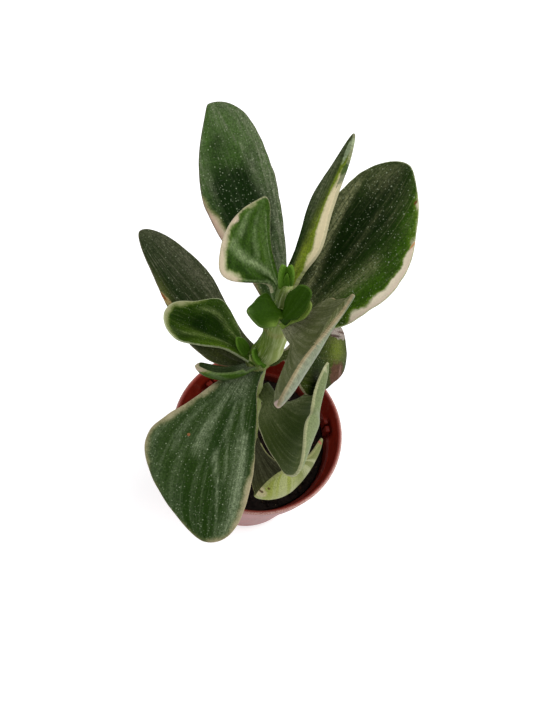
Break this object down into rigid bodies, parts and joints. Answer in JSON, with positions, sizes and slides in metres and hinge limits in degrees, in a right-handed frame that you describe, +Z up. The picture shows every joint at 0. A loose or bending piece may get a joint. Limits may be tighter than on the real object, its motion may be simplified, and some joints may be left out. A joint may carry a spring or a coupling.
{
  "type": "potted variegated succulent",
  "caption": "Small round nursery pot with a thick upright succulent stem, broad fleshy cream-edged green leaves and young side shoots.",
  "frame": {"origin": "middle of the pot's flat underside", "axes": "+Z up along the stem, -Y towards the front, where the broad low leaf points"},
  "size_m": [0.0699, 0.0816, 0.1575],
  "materials": {
    "pot": "semi-gloss, dusty",
    "soil": "loose and rough",
    "stem": "satin, streaked",
    "leaf": "satin, variegated with a waxy bloom",
    "young_leaf": "satin"
  },
  "bodies": {
    "root": {"pot": "pot", "soil": "soil", "stem": "stem", "leaf_back_left": "leaf", "leaf_back_right": "leaf", "leaf_left": "leaf", "leaf_front": "leaf", "leaf_left_young": "young_leaf", "leaf_left_curled": "young_leaf", "leaf_top_left": "leaf", "leaf_top_narrow": "leaf", "leaf_right_upright": "leaf", "leaf_right_low": "leaf", "leaf_lowest": "leaf", "leaf_right_scarred": "leaf", "leaf_shoot_left": "young_leaf", "leaf_shoot_right": "young_leaf", "leaf_shoot_back": "young_leaf"}
  },
  "joints": []
}
